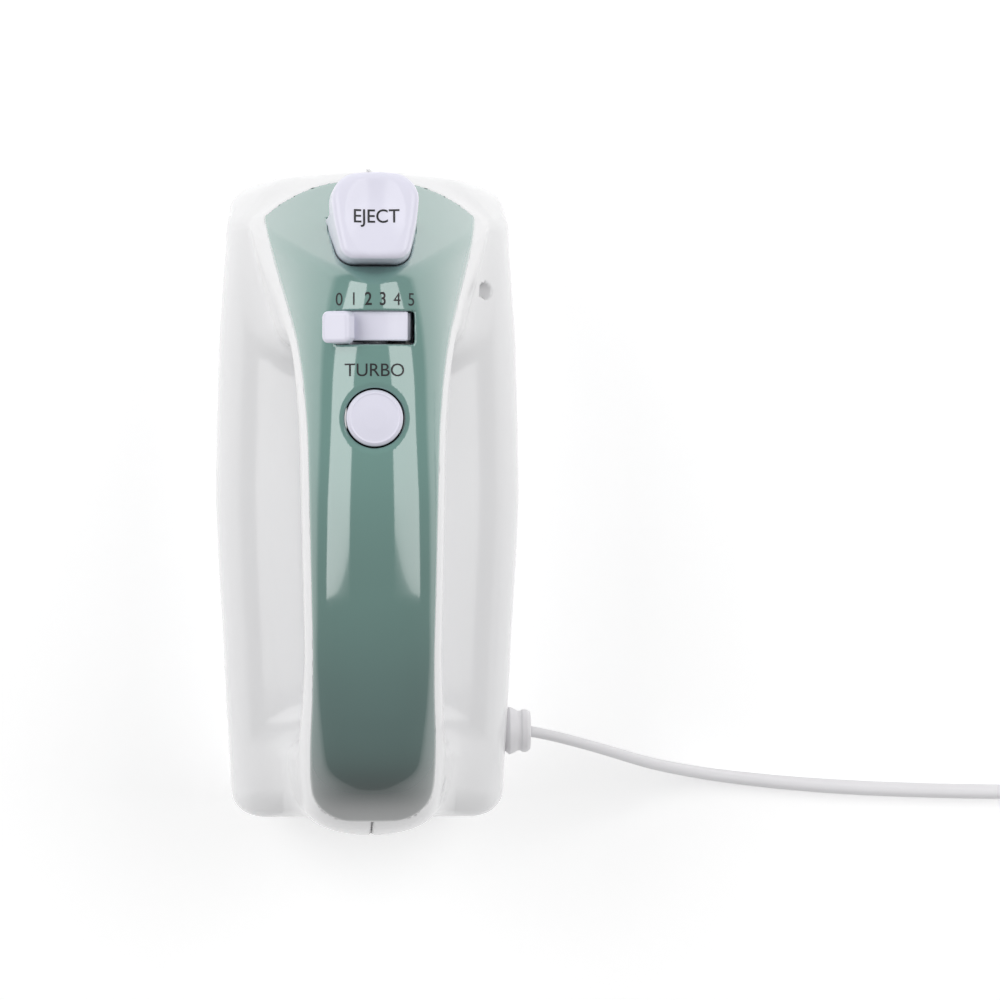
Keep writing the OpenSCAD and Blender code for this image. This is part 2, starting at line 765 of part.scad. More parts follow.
module thrust_washers() {
    color(steel) for (x = [-spindle_x, spindle_x])
        translate([x, gear_y, 29.5]) ring_cylinder(7, 5.1, 0.75);
}

// ---------- fasteners, board and clamp ----------

module shell_screws() {
    color(steel) for (p = shell_screw_places) along_x(-9.8, p[0], p[1]) {
        cylinder(r = screw_r, h = 18, $fn = 24);
        translate([0, 0, 17.8]) cylinder(r = 2.2, h = 1.8, $fn = 24);
    }
}

module control_board() {
    color([0.16, 0.36, 0.22]) translate([-9, -46, 102.6]) cube([18, 44, 1.6]);
}

module suppressor_capacitor() {
    color([0.80, 0.72, 0.30]) translate([-7, -42, 104.2]) cube([14, 10, 9]);
    color(dark) for (x = [-4.5, 4.5]) translate([x, -16, 104.2]) cylinder(r = 3, h = 8, $fn = 32);
}

module cord_clamp() {
    color(nylon) difference() {
        translate([16, bush_y - 9, 30]) cube([8, 18, 14]);
        along_x(14, bush_y, bush_z) cylinder(r = 2.8, h = 12, $fn = 32);
    }
}

// ---------- mains lead ----------

// Moulded bush: grooved neck in the shell, flared collar outside, ring at the end
module cord_bush() {
    color(white) along_x(0, bush_y, bush_z) rotate_extrude($fn = fine) polygon([[2.75, 24],
        [4.2, 24], [4.4, 30], [5, 34], [5, 38.6], [6.9, 40.6], [6.2, 42.2], [5.7, 43], [5.7, 43.8],
        [6.1, 44.2], [6.1, 45.6], [5.4, bush_end_x], [2.75, bush_end_x]]);
}

module cord() {
    color(white) swept_tube(cord_route, cord_w / 2, cord_t / 2, 8);
}

module cord_coil() {
    color(white) translate([coil_x, coil_y, 1]) rotate_extrude($fn = fine)
        translate([coil_r - coil_band / 2, 0]) square([coil_band, coil_h]);
}

module plug_lead() {
    color(white) swept_tube(lead_route, cord_w / 2, cord_t / 2, 8);
}

module plug_body() {
    color(white) {
        hull() {
            translate([plug_x - plug_w / 2 + 5, plug_y + 14, plug_z]) rotate([-90, 0, 0])
                scale([1, 1.4, 1]) cylinder(r = 5, h = plug_l - 14, $fn = 32);
            translate([plug_x + plug_w / 2 - 5, plug_y + 14, plug_z]) rotate([-90, 0, 0])
                scale([1, 1.4, 1]) cylinder(r = 5, h = plug_l - 14, $fn = 32);
            translate([plug_x, plug_y, plug_z]) rotate([-90, 0, 0]) cylinder(r = 4.6, h = 4, $fn = 32);
        }
    }
}

module plug_pins() {
    color(steel) for (side = [-1, 1])
        translate([plug_x + side * pin_spacing / 2, plug_y + plug_l, plug_z]) rotate([-90, 0, 0])
            cylinder(r = pin_r, h = pin_l, $fn = fine);
}

left_shell();
right_shell();
top_cover();
eject_button();
eject_yoke();
eject_spring();
eject_guide();
speed_selector();
selector_track();
selector_axle();
selector_bracket();
speed_switch();
detent_spring();
turbo_button();
turbo_spring();
turbo_switch();
motor_shaft();
worm();
rotor_core();
rotor_winding();
commutator();
cooling_fan();
stator_core();
upper_field_coil();
lower_field_coil();
rear_bracket();
rear_bearing();
middle_bearing();
front_bearing();
left_brush();
right_brush();
left_brush_holder();
right_brush_holder();
brush_springs();
gear_frame();
gear_lid();
gear_screws();
left_spindle();
right_spindle();
left_gear();
right_gear();
thrust_washers();
shell_screws();
motor_screws();
spacer_tubes();
control_board();
suppressor_capacitor();
cord_clamp();
cord_bush();
cord();
cord_coil();
plug_lead();
plug_body();
plug_pins();
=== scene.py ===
import json
import math

import bpy
import numpy as np
from mathutils import Matrix, Vector


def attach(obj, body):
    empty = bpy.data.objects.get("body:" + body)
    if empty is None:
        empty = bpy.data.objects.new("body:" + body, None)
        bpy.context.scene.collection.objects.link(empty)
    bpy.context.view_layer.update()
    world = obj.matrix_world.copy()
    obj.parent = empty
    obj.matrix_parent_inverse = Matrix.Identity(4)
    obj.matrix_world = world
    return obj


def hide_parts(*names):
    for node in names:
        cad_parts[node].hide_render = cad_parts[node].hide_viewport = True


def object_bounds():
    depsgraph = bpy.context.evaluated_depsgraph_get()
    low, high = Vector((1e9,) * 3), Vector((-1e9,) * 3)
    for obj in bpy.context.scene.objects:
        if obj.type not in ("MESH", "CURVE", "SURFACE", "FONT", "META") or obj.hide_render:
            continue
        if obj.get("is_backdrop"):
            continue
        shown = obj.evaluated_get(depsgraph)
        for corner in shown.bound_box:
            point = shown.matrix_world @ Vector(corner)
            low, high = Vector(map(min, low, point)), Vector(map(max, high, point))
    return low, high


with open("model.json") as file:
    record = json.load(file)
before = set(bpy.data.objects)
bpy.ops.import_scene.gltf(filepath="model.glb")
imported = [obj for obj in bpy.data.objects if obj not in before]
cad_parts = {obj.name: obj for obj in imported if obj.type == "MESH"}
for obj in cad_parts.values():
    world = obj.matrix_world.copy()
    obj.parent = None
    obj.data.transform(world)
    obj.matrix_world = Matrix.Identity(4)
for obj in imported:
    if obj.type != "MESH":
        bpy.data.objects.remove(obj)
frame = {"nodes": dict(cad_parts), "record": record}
rest_low, rest_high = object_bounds()

MM = 0.001
scene = bpy.context.scene

# ---------------------------------------------------------------- camera

EYE = Vector((-0.0255, -0.0015, 1.2))
TARGET = Vector((0.0400, -0.0015, 0.0))

camera_data = bpy.data.cameras.new("camera")
camera_data.lens = 146.5
camera_data.sensor_width = 36.0
camera_data.clip_start, camera_data.clip_end = 0.1, 10.0
camera = bpy.data.objects.new("camera", camera_data)
scene.collection.objects.link(camera)
back = (EYE - TARGET).normalized()
up = Vector((0, 1, 0))
right = up.cross(back)
camera.matrix_world = Matrix.Translation(EYE) @ Matrix((right, up, back)).transposed().to_4x4()
scene.camera = camera

# ---------------------------------------------------------------- materials

BROAD_GRAIN = 22.5      # noise scales, per metre
FINE_GRAIN = 720.0


def material(name, colour, roughness, metallic=0.0, coat=0.0, tint=0.05, wear=0.06, bump=0.0):
    """A Principled material whose colour, roughness and height vary with two noises."""
    m = bpy.data.materials.new(name)
    m.use_nodes = True
    nodes, links = m.node_tree.nodes, m.node_tree.links
    shader = nodes["Principled BSDF"]
    place = nodes.new("ShaderNodeTexCoord")
    broad = nodes.new("ShaderNodeTexNoise")
    broad.inputs["Scale"].default_value = BROAD_GRAIN
    broad.inputs["Detail"].default_value = 3.0
    fine = nodes.new("ShaderNodeTexNoise")
    fine.inputs["Scale"].default_value = FINE_GRAIN
    fine.inputs["Detail"].default_value = 4.0
    for n in (broad, fine):
        links.new(place.outputs["Object"], n.inputs["Vector"])
    ramp = nodes.new("ShaderNodeValToRGB")
    ramp.color_ramp.elements[0].position = 0.3
    ramp.color_ramp.elements[1].position = 0.7
    for element, gain in zip(ramp.color_ramp.elements, (1 - tint, 1 + tint)):
        element.color = (*[min(1.0, c * gain) for c in colour], 1.0)
    links.new(broad.outputs["Fac"], ramp.inputs["Fac"])
    links.new(ramp.outputs["Color"], shader.inputs["Base Color"])
    rough = nodes.new("ShaderNodeMapRange")
    rough.inputs["To Min"].default_value = max(0.02, roughness - wear)
    rough.inputs["To Max"].default_value = min(1.0, roughness + wear)
    links.new(fine.outputs["Fac"], rough.inputs["Value"])
    links.new(rough.outputs["Result"], shader.inputs["Roughness"])
    shader.inputs["Metallic"].default_value = metallic
    shader.inputs["Coat Weight"].default_value = coat
    shader.inputs["Coat Roughness"].default_value = 0.04
    if bump:
        height = nodes.new("ShaderNodeBump")
        height.inputs["Strength"].default_value = bump
        height.inputs["Distance"].default_value = 0.0002
        links.new(fine.outputs["Fac"], height.inputs["Height"])
        links.new(height.outputs["Normal"], shader.inputs["Normal"])
    return m


FINISH = {
    "white_plastic": material("white_plastic", (0.84, 0.84, 0.85), 0.22, coat=0.25, tint=0.006,
                              wear=0.03),
    "green_plastic": material("green_plastic", (0.165, 0.32, 0.285), 0.10, coat=0.9, tint=0.03,
                              wear=0.02),
    "button_plastic": material("button_plastic", (0.82, 0.81, 0.93), 0.30, coat=0.15, tint=0.008,
                               wear=0.03),
    "nylon": material("nylon", (0.70, 0.69, 0.62), 0.5, tint=0.03, bump=0.1),
    "spring_steel": material("spring_steel", (0.52, 0.53, 0.55), 0.3, 1.0, tint=0.08),
    "steel": material("steel", (0.60, 0.61, 0.63), 0.28, 1.0, tint=0.05, bump=0.05),
    "laminated_steel": material("laminated_steel", (0.34, 0.35, 0.37), 0.45, 1.0, tint=0.1,
                                bump=0.2),
    "copper": material("copper", (0.66, 0.30, 0.14), 0.32, 1.0, tint=0.12, bump=0.3),
    "brass": material("brass", (0.74, 0.56, 0.24), 0.3, 1.0, tint=0.06),
    "dark_plastic": material("dark_plastic", (0.03, 0.03, 0.035), 0.45, tint=0.1, bump=0.1),
    "carbon": material("carbon", (0.02, 0.02, 0.02), 0.6, tint=0.2, bump=0.3),
    "circuit_board": material("circuit_board", (0.03, 0.17, 0.07), 0.35, tint=0.15),
    "capacitor_yellow": material("capacitor_yellow", (0.72, 0.55, 0.12), 0.35, tint=0.05),
    "lead_pvc": material("lead_pvc", (0.84, 0.83, 0.85), 0.42, tint=0.012, wear=0.05, bump=0.04),
    "plated_pin": material("plated_pin", (0.72, 0.72, 0.74), 0.16, 1.0, tint=0.03),
    "print": material("print", (0.012, 0.012, 0.014), 0.5, tint=0.1),
    "floor": material("floor", (0.93, 0.93, 0.93), 0.6, tint=0.002),
}
floor_shader = FINISH["floor"].node_tree.nodes["Principled BSDF"]
floor_shader.inputs["Emission Color"].default_value = (1, 1, 1, 1)
floor_shader.inputs["Emission Strength"].default_value = 0.30
green_shader = FINISH["green_plastic"].node_tree.nodes["Principled BSDF"]
green_shader.inputs["Specular IOR Level"].default_value = 1.0
green_shader.inputs["Coat IOR"].default_value = 1.6


def shade_along_y(m, stops):
    """Paints light and shade into a material's colour: multiplies it by a tint that changes along
    the object's Y axis.
    """
    nodes, links = m.node_tree.nodes, m.node_tree.links
    place = nodes.new("ShaderNodeTexCoord")
    axes = nodes.new("ShaderNodeSeparateXYZ")
    span = nodes.new("ShaderNodeMapRange")
    span.inputs["From Min"].default_value = -0.1
    span.inputs["From Max"].default_value = 0.1
    ramp = nodes.new("ShaderNodeValToRGB")
    ramp.color_ramp.interpolation = "EASE"
    while len(ramp.color_ramp.elements) < len(stops):
        ramp.color_ramp.elements.new(0.5)
    for element, (y, tint) in zip(ramp.color_ramp.elements, stops):
        element.position = (y + 100) / 200
        element.color = (*tint, 1.0)
    blend = nodes.new("ShaderNodeMix")
    blend.data_type = "RGBA"
    blend.blend_type = "MULTIPLY"
    blend.inputs["Factor"].default_value = 1.0
    shader = nodes["Principled BSDF"]
    base = shader.inputs["Base Color"].links[0].from_socket
    links.new(place.outputs["Object"], axes.inputs["Vector"])
    links.new(axes.outputs["Y"], span.inputs["Value"])
    links.new(span.outputs["Result"], ramp.inputs["Fac"])
    colour_sockets = [i for i in blend.inputs if i.type == "RGBA"]
    links.new(base, colour_sockets[0])
    links.new(ramp.outputs["Color"], colour_sockets[1])
    links.new([o for o in blend.outputs if o.type == "RGBA"][0], shader.inputs["Base Color"])


# Painted shade on the green cover: full colour at the front, darker towards the rear, and at the
# tail a painted dull grey reflection in place of the green.
GREEN_PAINTED_SHADE = [(-88, (0.22, 0.15, 0.17)), (-62, (0.55, 0.52, 0.54)), (-25, (0.76, 0.76, 0.76)),
               (20, (0.98, 1.0, 1.0)), (60, (1.0, 1.0, 1.0))]
shade_along_y(FINISH["green_plastic"], GREEN_PAINTED_SHADE)

for row in frame["record"]["subparts"]:
    node = frame["nodes"][row["node"]]
    node.data.materials.clear()
    node.data.materials.append(FINISH[row["material_slot"]])

# ---------------------------------------------------------------- fields
#
# A visible moulding is the zero surface of a field: a function of x, y and z in millimetres that
# is negative inside. mesh_of() samples it, joins the crossings and pulls them onto the surface.


def rmax(a, b, r):
    """Intersection of two fields with a convex edge rounded to radius r."""
    return np.minimum(np.maximum(a, b), -r) + np.hypot(np.maximum(a + r, 0), np.maximum(b + r, 0))


def rmin(a, b, r):
    """Union of two fields with a concave corner filled to radius r."""
    return -rmax(-a, -b, r)


def step(t):
    """A smooth rise from 0 to 1 while t goes from 0 to 1."""
    t = np.clip(t, 0, 1)
    return t * t * (3 - 2 * t)


def curve(rows, width=5.0):
    """A smooth function through about the given (position, value) pairs."""
    x, v = np.array(rows, float).T
    fine = np.arange(x[0] - 3 * width, x[-1] + 3 * width, 0.25)
    line = np.interp(fine, x, v)
    line += np.minimum(fine - x[0], 0) * (v[1] - v[0]) / (x[1] - x[0])
    line += np.maximum(fine - x[-1], 0) * (v[-1] - v[-2]) / (x[-1] - x[-2])
    reach = int(width / 0.25)
    kernel = np.hanning(2 * reach + 3)[1:-1]
    smooth = np.convolve(line, kernel / kernel.sum(), "same")[reach:-reach]
    fine = fine[reach:-reach]
    return lambda y: np.interp(y, fine, smooth)


RELAX_ROUNDS = 2


def mesh_of(field, low, high, pitch):
    """Vertices, quads and normals of the zero surface of a field inside a box, in millimetres."""
    axes = [np.arange(a - pitch, b + 2 * pitch, pitch) for a, b in zip(low, high)]
    shape = tuple(len(a) for a in axes)
    values = np.empty(shape, np.float32)
    for i, x in enumerate(axes[0]):
        y, z = np.meshgrid(axes[1], axes[2], indexing="ij")
        values[i] = field(np.full_like(y, x), y, z)
    inside = values < 0
    total = np.zeros(tuple(n - 1 for n in shape) + (3,), np.float32)
    count = np.zeros(tuple(n - 1 for n in shape), np.int16)
    crossings = []
    for axis in range(3):
        near = [slice(None)] * 3
        far = [slice(None)] * 3
        near[axis], far[axis] = slice(0, -1), slice(1, None)
        a, b = inside[tuple(near)], inside[tuple(far)]
        edge = np.argwhere(a != b)
        va = values[tuple(near)][tuple(edge.T)]
        vb = values[tuple(far)][tuple(edge.T)]
        at = edge.astype(np.float32)
        at[:, axis] += va / (va - vb)
        flip = a[tuple(edge.T)]
        others = [k for k in range(3) if k != axis]
        for du in (0, -1):
            for dv in (0, -1):
                cell = edge.copy()
                cell[:, others[0]] += du
                cell[:, others[1]] += dv
                ok = np.all((cell >= 0) & (cell < np.array(count.shape)), axis=1)
                np.add.at(total, tuple(cell[ok].T), at[ok])
                np.add.at(count, tuple(cell[ok].T), 1)
        crossings.append((axis, others, edge, flip))
    index = -np.ones(count.shape, np.int64)
    used = count > 0
    index[used] = np.arange(used.sum())
    points = total[used] / count[used][:, None]
    quads = []
    for axis, others, edge, flip in crossings:
        corner = []
        ok = np.all([(edge[:, k] > 0) & (edge[:, k] < count.shape[k]) for k in others], axis=0)
        edge, flip = edge[ok], flip[ok]
        for du, dv in ((0, 0), (-1, 0), (-1, -1), (0, -1)):
            cell = edge.copy()
            cell[:, others[0]] += du
            cell[:, others[1]] += dv
            corner.append(index[tuple(cell.T)])
        quad = np.stack(corner, 1)
        turn = flip ^ (axis == 1)
        quad[~turn] = quad[~turn][:, ::-1]
        quads.append(quad)
    quads = np.concatenate(quads)
    start = points.astype(float) * pitch + np.array([a[0] for a in axes])

    def slope(q, h=0.12):
        x, y, z = q.T
        return np.stack([field(x + h, y, z) - field(x - h, y, z),
                         field(x, y + h, z) - field(x, y - h, z),
                         field(x, y, z + h) - field(x, y, z - h)], 1) / (2 * h)

    def settle(q, rounds):
        for _ in range(rounds):
            g = slope(q)
            push = field(*q.T)[:, None] * g / np.maximum((g * g).sum(1), 0.05)[:, None]
            size = np.linalg.norm(push, axis=1)[:, None]
            q = q - push * np.minimum(1, 0.5 * pitch / np.maximum(size, 1e-9))
        away = q - start
        size = np.linalg.norm(away, axis=1)[:, None]
        return start + away * np.minimum(1, 1.2 * pitch / np.maximum(size, 1e-9))

    p = settle(start, 2)
    ends = np.concatenate([quads[:, [0, 1]], quads[:, [1, 2]], quads[:, [2, 3]], quads[:, [3, 0]]])
    for _ in range(RELAX_ROUNDS):
        mean = np.zeros_like(p)
        for k in range(3):
            mean[:, k] = np.bincount(ends[:, 0], p[ends[:, 1], k], len(p))
        degree = np.bincount(ends[:, 0], minlength=len(p))
        pull = mean / np.maximum(degree, 1)[:, None] - p
        g = slope(p)
        g /= np.maximum(np.linalg.norm(g, axis=1), 1e-9)[:, None]
        pull -= (pull * g).sum(1)[:, None] * g
        p = settle(p + 0.6 * pull, 1)
    p = settle(p, 2)
    g = slope(p)
    g /= np.maximum(np.linalg.norm(g, axis=1), 1e-9)[:, None]
    return p, quads, g


def moulding(name, body, slot, field, low, high, pitch, replaces=None):
    """A piece made from a field, riding a body and wearing a slot's finish."""
    p, quads, normals = mesh_of(field, low, high, pitch)
    mesh = bpy.data.meshes.new(name)
    mesh.from_pydata((p * MM).tolist(), [], quads.tolist())
    mesh.polygons.foreach_set("use_smooth", np.ones(len(quads), bool))
    mesh.normals_split_custom_set_from_vertices(normals.tolist())
    return dress(bpy.data.objects.new(name, mesh), body, slot, replaces)


def dress(piece, body, slot, replaces=None, finish=None):
    """Links a piece, gives it its slot's finish, ties it to its body and hides the CAD nodes it
    replaces.
    """
    if piece.name not in scene.collection.objects:
        scene.collection.objects.link(piece)
    piece.data.materials.clear()
    piece.data.materials.append(FINISH[finish or slot])
    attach(piece, body)
    for node_name in replaces or []:
        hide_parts(node_name)
    return piece


# ---------------------------------------------------------------- body

WALL = 2.2
WAIST_Z = 38.0
SKIRT = 7.0
NOSE_Y = 93.9
SEAM = 0.06        # half of the parting line between the shells

housing_half = curve([(-96, 38.2), (-80, 38.8), (-58, 40.2), (-41, 41), (-18, 42.4), (-1, 43.2),
                      (22, 42.8), (45, 42.2), (67, 40.6), (84, 39.1), (96, 37.8)], 8)
housing_top = curve([(-96, 66), (-60, 67.5), (0, 69.5), (40, 70), (96, 68)], 8)
crown_line = curve([(-94, 84), (-91.5, 91), (-88.9, 96.5), (-83, 107), (-75, 114.5), (-60, 120.2),
                    (-30, 124.8), (0, 127), (30, 127.8), (56, 127), (96, 124)], 5)
edge_half = curve([(-94, 12), (-88, 15.4), (-77.5, 17.1), (-66, 17.1), (-55, 16.6), (-44, 16.4),
                   (-23, 16.9), (-1.5, 17.4), (17, 17.9), (31, 19.1), (42, 20.8), (53, 23.8),
                   (65, 27.2), (78, 29.8), (96, 31)], 7)
edge_height = curve([(-94, 80), (-84, 91), (-77.5, 95), (-66, 105), (-55, 111), (-44, 115.5),
                     (-23, 116), (-1.5, 115), (17, 111), (31, 105), (42, 98), (53, 87), (65, 77),
                     (78, 70), (96, 66)], 8)
crown_power = curve([(-94, 2.2), (30, 2.3), (42, 2.1), (53, 1.8), (65, 1.5), (96, 1.4)], 8)
flare = curve([(-94, 0.2), (-75, 0.2), (-60, 0.1), (-45, 0), (25, 0), (38, 0.1), (53, 0.18),
               (65, 0.26), (78, 0.36), (96, 0.36)], 8)
handle_low = curve([(-94, 92), (-66, 94), (-45, 97.6), (-20, 98.6), (60, 98.6)], 8)
fillet = curve([(-96, 9), (35, 9), (60, 4), (96, 2)], 8)
body_half = curve([(-94, 17), (-88, 17.4), (-77.5, 19), (-66, 19), (-55, 18.5), (-44, 18.3),
                   (-23, 18.8), (-1.5, 19.3), (17, 19.8), (31, 21), (42, 22.7), (53, 25.7),
                   (65, 29.1), (78, 31.7), (96, 32.9)], 7)


def egg(u, v, half, rise, power):
    """Radial distance to a superellipse, for u and v that are not negative."""
    g = np.maximum((u / half) ** power + (v / rise) ** power, 1e-6)
    return (1 - g ** (-1 / power)) * np.hypot(u, v)


def front_arc(x):
    """How far the cover's front edge falls back from its middle."""
    return 0.00305 * np.abs(x) ** 2.376


def outer_form(x, y, z):
    """The whole closed outer form of the mixer."""
    ax = np.abs(x)
    above = z > WAIST_Z
    rise = np.where(above, housing_top(y) - WAIST_Z, WAIST_Z + 3)
    housing = egg(ax, np.abs(z - WAIST_Z), housing_half(y), rise, np.where(above, 2.6, 3.2))
    housing = rmax(housing, -z, 3)
    base = edge_height(y) - SKIRT
    drop = base - z
    lean = flare(y) * (drop + np.sqrt(drop * drop + 144)) / 2
    upper = egg(np.maximum(ax - lean, 0), np.maximum(z - base, 0), body_half(y),
                crown_line(y) - base, crown_power(y))
    upper = np.maximum(upper, 46 - z)
    gap = rmax(np.maximum(y - 39.5, -66.5 - y), z - handle_low(y), 8.5)
    form = rmin(housing, rmax(upper, -gap, 7), fillet(y))
    tall = step((z - 50) / 22)
    rear = -y - (90.9 + tall * (2.7 - 0.0145 * np.minimum(ax, 24) ** 2))
    form = rmax(form, rear, 7 - 3 * tall)
    bow = front_arc(x)
    nose_bow = 0.0046 * x * x
    bow = nose_bow + (bow - nose_bow) * step((z - 44) / 18)
    forehead = (z - 60 - 2.03 * (90 - front_arc(x) - y)) / 2.263
    face = (z - 60 + 4 * (y + bow - 90)) / 4.123
    form = rmax(form, rmax(forehead, face, 1.5), 2)
    return rmax(form, y - (NOSE_Y - nose_bow), 5)


def cover_plan(x, y):
    """Plan outline of the top cover, as a field."""
    ax = np.abs(x)
    plan = rmax(ax - edge_half(y), -y - 88.9, 9)
    return rmax(plan, y - (89.4 - front_arc(x)), 2)


def cover_zone(x, y, z):
    return np.maximum(cover_plan(x, y), edge_height(y) - 4.5 - z)


eject_half = curve([(58, 7.6), (62, 8.5), (67, 9.7), (72, 10.7), (77, 11.3), (82, 11.3),
                    (88, 10.8)], 3)


def eject_plan(x, y):
    """Plan outline of the eject button, as a field."""
    plan = rmax(np.abs(x) - eject_half(y), y - (84.5 - 0.012 * x * x), 5.5)
    return rmax(plan, 61.6 - y, 3)


TURBO_Y = 20.1
SLOT_Y = 44.0
SLOT_HALF_X, SLOT_HALF_Y = 10.6, 4.45


def openings(x, y, z):
    """Everything that passes through the cover or the shells, as one field."""
    eject = np.maximum(eject_plan(x, y) - 1.0, y - 75.5)
    slot = rmax(np.abs(x) - SLOT_HALF_X, np.abs(y - SLOT_Y) - SLOT_HALF_Y, 1)
    turbo = np.hypot(x, y - TURBO_Y) - 7.95
    return np.maximum(np.minimum(np.minimum(eject, slot), turbo), 80 - z)


def recess(x, y):
    """How far the cover sinks round the turbo button."""
    ring = np.hypot(x, y - TURBO_Y)
    return 0.5 * step((9.6 - ring) / 1.6)


COVER_PROUD = 0.3
COVER_LAP = 1.0


def inner(form, y):
    """The inner side of a wall. The form is steep at both ends, so the depth grows there."""
    return -(form + WALL * (1 + 1.6 * step((-80 - y) / 6) + 0.5 * step((y - 50) / 20)))


def cover(x, y, z):
    form = outer_form(x, y, z)
    top = form - COVER_PROUD + recess(x, y)
    shell = rmax(top, cover_plan(x, y), 0.8)
    shell = np.maximum(shell, inner(form, y))
    shell = np.maximum(shell, edge_height(y) - 3.2 - z)
    return rmax(shell, -openings(x, y, z), 0.45)


SHELL_SCREWS = ((57, 62), (-80, 86), (-80, 12), (86, 14))
VENTS, VENT_Y, VENT_PITCH = 6, -74, 5.4
SPINDLE_X, SPINDLE_Y = 18, 64
BUSH = (0.0, -67.5, 37.0)


def shell(side):
    def field(x, y, z):
        form = outer_form(x, y, z)
        wall = np.maximum(form, inner(form, y))
        for sy, sz in SHELL_SCREWS:
            boss = np.hypot(y - sy, z - sz)
            boss = np.maximum(np.maximum(boss - 3.2, form + 0.5), side * x - 45)
            wall = np.minimum(wall, boss)
        wall = rmax(wall, -(cover_zone(x, y, z) + COVER_LAP), 0.3)
        wall = np.maximum(wall, -openings(x, y, z))
        for sy, sz in SHELL_SCREWS:
            boss = np.hypot(y - sy, z - sz)
            wall = np.maximum(wall, -np.maximum(boss - 1.5, np.abs(x) - 10.5))
            wall = rmax(wall, -np.maximum(boss - 2.3, 8 - x), 0.4)
        for i in range(VENTS):
            slit = np.hypot(np.maximum(np.abs(x) - 17, 0), y - VENT_Y - VENT_PITCH * i) - 1.3
            wall = rmax(wall, -np.maximum(slit, z - 5), 0.4)
        for sx in (-SPINDLE_X, SPINDLE_X):
            wall = rmax(wall, -np.maximum(np.hypot(x - sx, y - SPINDLE_Y) - 7.2, z - 8), 0.8)
        wall = np.maximum(wall, -np.maximum(np.hypot(y - BUSH[1], z - BUSH[2]) - 5, 20 - x))
        return rmax(wall, SEAM - side * x, 0.35)
    return field


QUALITY = 1.0
moulding("left_housing_shell", "housing", "white_plastic", shell(-1), (-45, -96, -1),
         (1, 96, 122), 0.8 * QUALITY, ["left_shell"])
moulding("right_housing_shell", "housing", "white_plastic", shell(1), (-1, -96, -1),
         (45, 96, 122), 0.8 * QUALITY, ["right_shell"])
moulding("green_top_cover", "housing", "green_plastic", cover, (-33, -91, 55), (33, 92, 130),
         0.6 * QUALITY, ["top_cover"])

# ---------------------------------------------------------------- controls


def eject_top(x, y):
    """Height of the eject button's dished top."""
    crown = 137.3 - 0.17 * (y - 62) - 0.02 * np.maximum(y - 78, 0) ** 2
    q = (x / 8.2) ** 2 + ((y - 73.5) / 11.5) ** 2
    return crown - 2.4 * np.maximum(1 - q, 0) ** 1.4 * (1 + 0.045 * (y - 74))


STEM_Y = 67.7


def eject_field(x, y, z):
    """The eject button: a cap, a front wall that closes the opening, and the head of its stem."""
    sides = eject_plan(x, y) - 0.03 * (137 - z)
    form = rmax(sides, z - eject_top(x, y), 2.2)
    form = np.maximum(form, 88 - z)
    form = rmax(form, -np.maximum(75 - y, (z - 112 - 1.4 * (y - 75)) / 1.72), 0.4)
    form = np.maximum(form, -np.maximum(y - 73, z - 96))
    form = np.maximum(form, -np.maximum(np.maximum(eject_plan(x, y) + 1.2, y - 73), z - 112))
    stem = np.maximum(np.hypot(x, y - STEM_Y) - 4.6, np.abs(z - 111.5) - 2)
    return np.minimum(form, stem)


moulding("eject_cap", "eject", "button_plastic", eject_field, (-14, 59, 87), (14, 86, 138),
         0.5 * QUALITY, ["eject_button"])

AXLE_Z, TRACK_R, KNOB_R, KNOB_TOP_R = 107.8, 18.2, 20.6, 24.9
KNOB_TURN = math.radians(-25.5)


def polar(x, z):
    """Radius from the selector's axle and angle off the vertical, in degrees."""
    return np.hypot(x, z - AXLE_Z), np.degrees(np.arctan2(x, z - AXLE_Z))


def sector(r, turn, r_out, r_in, first, last):
    """Ring sector round the selector's axle, between two angles."""
    ends = np.maximum(first - turn, turn - last) * np.pi / 180 * r
    return rmax(rmax(r - r_out, r_in - r, 0.2), ends, 0.3)


def selector_field(x, y, z):
    """The selector's knob, arm and hub."""
    y = y - SLOT_Y
    r, turn = polar(x, z)
    arm = np.maximum(sector(r, turn, KNOB_R + 0.6, 3.2, -30.5, -20.5), np.abs(y + 3.9) - 0.4)
    hub = np.maximum(np.maximum(r - 4, 2 - r), np.abs(y) - 5.5)
    c, s = math.cos(KNOB_TURN), math.sin(KNOB_TURN)
    u, v = x * c - (z - AXLE_Z) * s, x * s + (z - AXLE_Z) * c
    knob = rmax(np.abs(u) - 4.0, np.abs(y) - 4.2, 1.7)
    knob = rmax(np.maximum(knob, KNOB_R - v), v - KNOB_TOP_R + 0.02 * u * u, 1.1)
    return np.minimum(np.minimum(arm, hub), knob)


def track_field(x, y, z):
    """The arched track under the knob, with its posts and foot plate."""
    y = y - SLOT_Y
    r, turn = polar(x, z)
    arch = sector(r, turn, TRACK_R, TRACK_R - 1.4, -34.5, 29.5)
    arch = rmax(arch, np.abs(y - 0.475) - 3.925, 0.3)
    post = np.maximum(np.abs(np.abs(x) - 9.2) - 0.6, np.abs(z - 111.5) - 9.6)
    post = np.maximum(post, np.abs(y - 0.475) - 3.85)
    plate = np.maximum(np.maximum(np.abs(x) - 12, np.abs(y - 5.15) - 8.35),
                       np.abs(z - 101.95) - 0.45)
    return np.minimum(arch, np.minimum(np.maximum(post, r - TRACK_R + 0.3), plate))


moulding("selector_knob_and_arm", "selector", "button_plastic", selector_field, (-16, 38, 103),
         (6, 50, 132), 0.4 * QUALITY, ["speed_selector"])
moulding("selector_track_arch", "housing", "button_plastic", track_field, (-13, 40, 100),
         (13, 59, 127), 0.45 * QUALITY, ["selector_track"])


